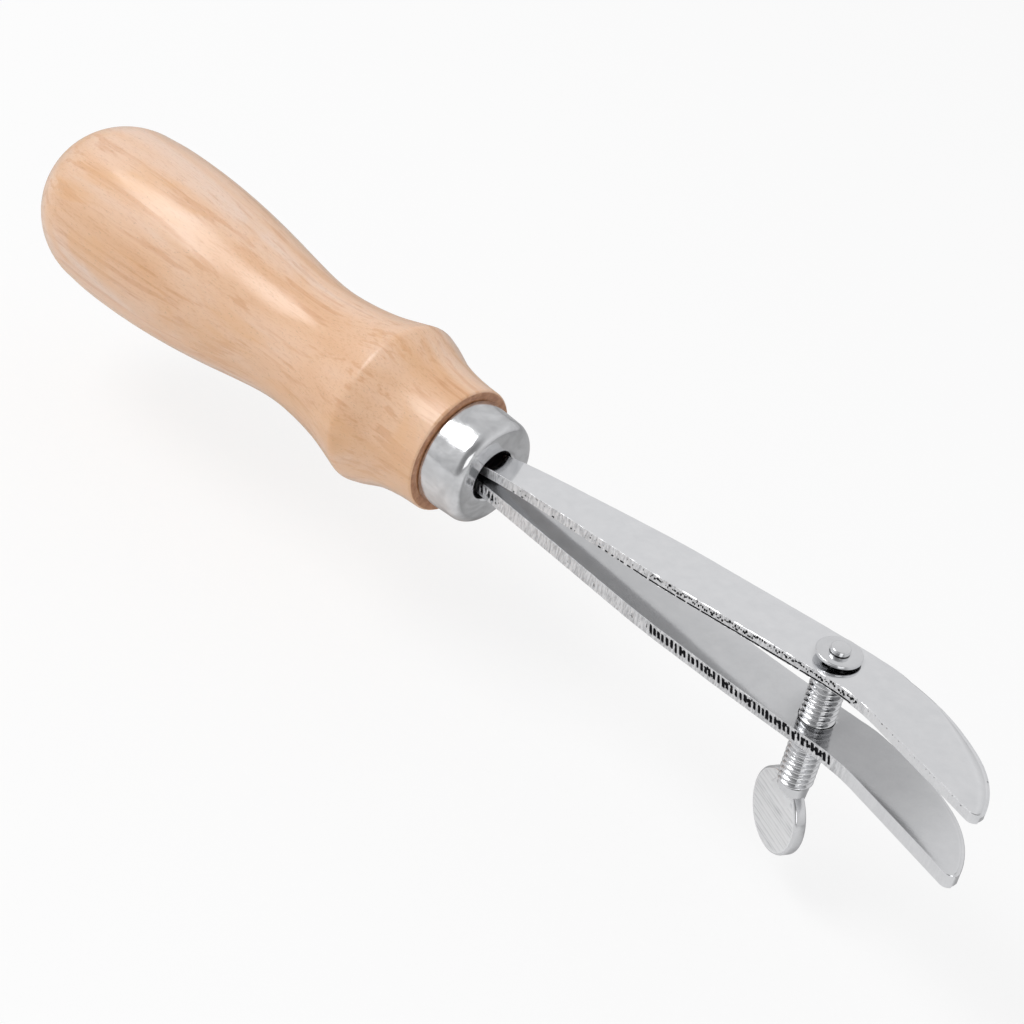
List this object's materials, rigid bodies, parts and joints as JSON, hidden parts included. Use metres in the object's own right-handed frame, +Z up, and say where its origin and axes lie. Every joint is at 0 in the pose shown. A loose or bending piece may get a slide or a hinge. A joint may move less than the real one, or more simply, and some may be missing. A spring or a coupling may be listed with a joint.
{
  "type": "adjustable screw creaser",
  "caption": "Leather edge creaser: two spring-steel legs with sideways-swept flat toes on a turned wooden handle, the gap between them set by a spade-headed thumb screw.",
  "frame": {"origin": "centre of the ferrule's front face, where the legs come out", "axes": "+X along the tool from the handle to the toes, +Z up the thumb screw's axis from its spade head to its riveted end, +Y away from the side that the toes sweep to"},
  "size_m": [0.2019, 0.0302, 0.0425],
  "materials": {
    "turned_wood": "pale turned hardwood with a thin satin lacquer",
    "ferrule_plate": "pressed steel, bright nickel plate with small handling dents",
    "leg_plate": "sheared spring steel, bright plate, rough sheared edges",
    "screw_plate": "bright plate over a rolled thread and a coarse-ground spade",
    "tang_steel": "plain sheared steel, hidden in the handle"
  },
  "bodies": {
    "grip": {"handle": "turned_wood", "ferrule": "ferrule_plate", "upper_tang": "tang_steel", "lower_tang": "tang_steel"},
    "upper_leg": {"upper_leg": "leg_plate"},
    "lower_leg": {"lower_leg": "leg_plate"},
    "captive_washer": {"captive_washer": "screw_plate"},
    "thumb_screw": {"thumb_screw": "screw_plate"}
  },
  "joints": [
    {"name": "upper_leg_flex", "type": "hinge", "parent": "grip", "child": "upper_leg", "pos_m": [-0.0072, 0, 0.00095], "axis": [0, -1, 0], "range_deg": [-2.36, 1.57]},
    {"name": "lower_leg_flex", "type": "hinge", "parent": "grip", "child": "lower_leg", "pos_m": [-0.0072, 0, -0.00128], "axis": [0, 1, 0], "range_deg": [-2.36, 1.57]},
    {"name": "screw_advance", "type": "slide", "parent": "lower_leg", "child": "captive_washer", "axis": [0, 0, 1], "range_m": [-0.006, 0.004]},
    {"name": "screw_turn", "type": "hinge", "parent": "captive_washer", "child": "thumb_screw", "pos_m": [0.0657, 0, 0], "axis": [0, 0, 1], "range_deg": [-2161.5, 1441]}
  ],
  "couplings": [
    {"joint": "screw_turn", "follows": "screw_advance", "rad_per_m": 6283.2},
    {"joint": "upper_leg_flex", "follows": "screw_advance", "rad_per_m": 6.8587},
    {"joint": "lower_leg_flex", "follows": "screw_advance", "rad_per_m": 6.8587}
  ]
}
